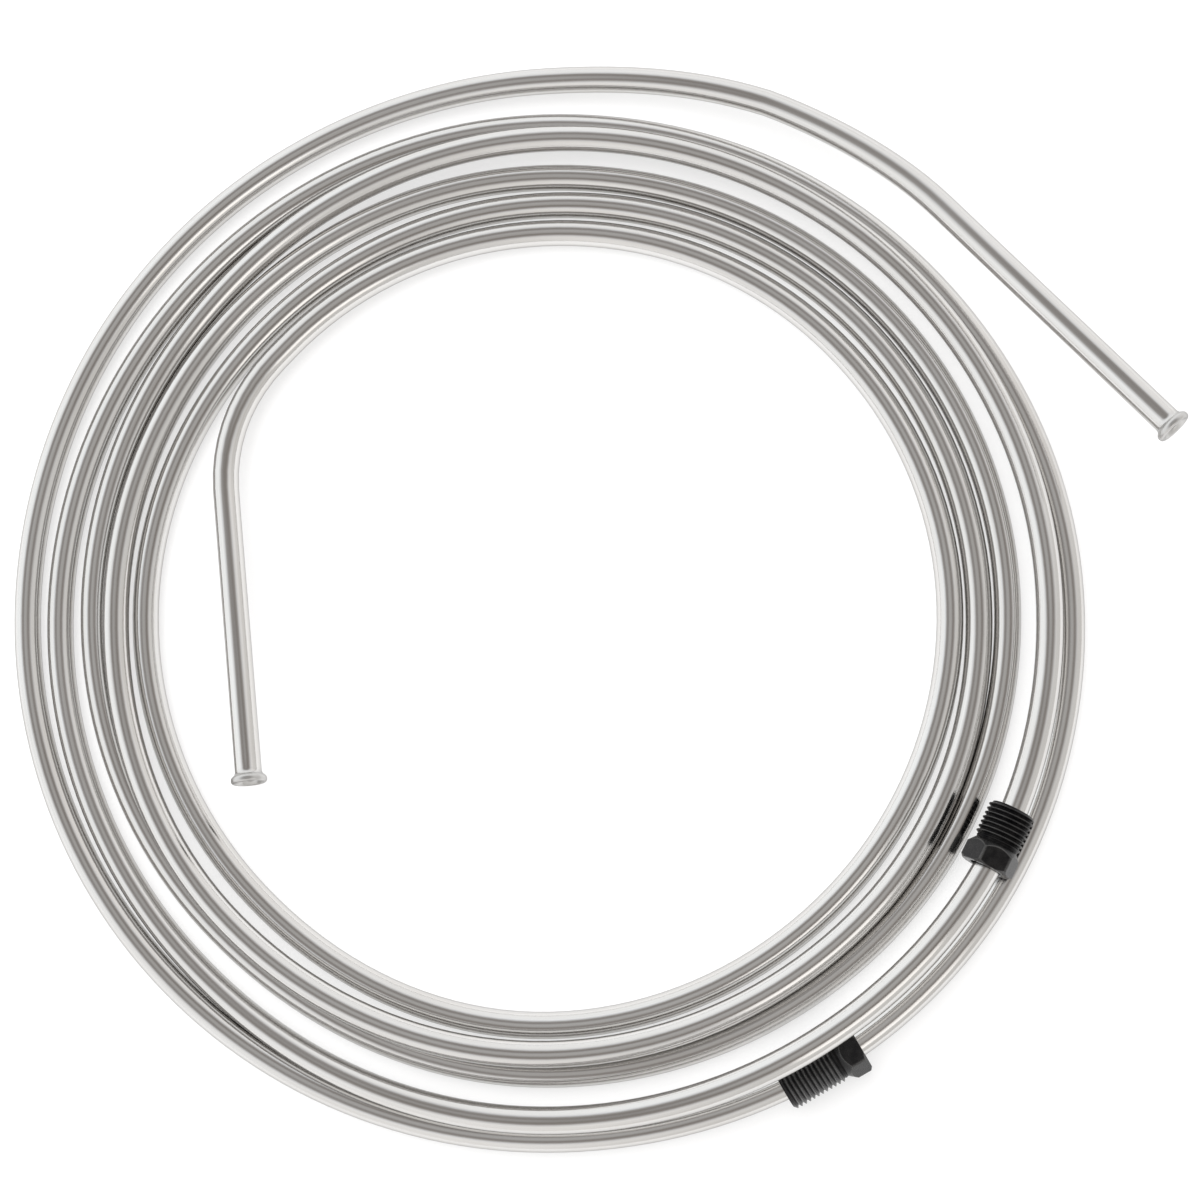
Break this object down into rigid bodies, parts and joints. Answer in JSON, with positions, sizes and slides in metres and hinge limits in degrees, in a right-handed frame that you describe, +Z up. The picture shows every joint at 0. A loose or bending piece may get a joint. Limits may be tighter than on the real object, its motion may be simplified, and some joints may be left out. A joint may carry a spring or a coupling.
{
  "type": "coiled flared steel tube with tube nuts",
  "caption": "Loose flat coil of bright steel tube with flared ends and captive black tube nuts; carries liquid, as a chilling or transfer coil.",
  "frame": {"origin": "centre of the bounding box, on the surface that the coil lies on", "axes": "+Z up out of the flat coil, +X towards the outer flared end's side"},
  "size_m": [0.3535, 0.3314, 0.0384],
  "materials": {
    "tube": "bright drawn stainless steel, smooth, faint lengthwise drawing lines",
    "nut": "satin black oxide on machined steel"
  },
  "bodies": {
    "coil": {"outer_flared_end": "tube", "outer_lead": "tube", "coil_turn_1a": "tube", "coil_turn_1b": "tube", "coil_turn_2a": "tube", "coil_turn_2b": "tube", "coil_turn_3a": "tube", "coil_turn_3b": "tube", "coil_turn_4a": "tube", "coil_turn_4b": "tube", "coil_turn_5a": "tube", "coil_turn_5b": "tube", "inner_bend": "tube", "inner_flared_end": "tube"},
    "short_nut": {"short_tube_nut": "nut"},
    "long_nut": {"long_tube_nut": "nut"}
  },
  "joints": [
    {"name": "short_nut_spin", "type": "hinge", "parent": "coil", "child": "short_nut", "pos_m": [0.12201, -0.07509, 0.01549], "axis": [0.4555, 0.8881, -0.0613], "continuous": true},
    {"name": "long_nut_spin", "type": "hinge", "parent": "coil", "child": "long_nut", "pos_m": [0.07015, -0.14011, 0.0075], "axis": [-0.8676, -0.4973, 0.004], "continuous": true}
  ]
}
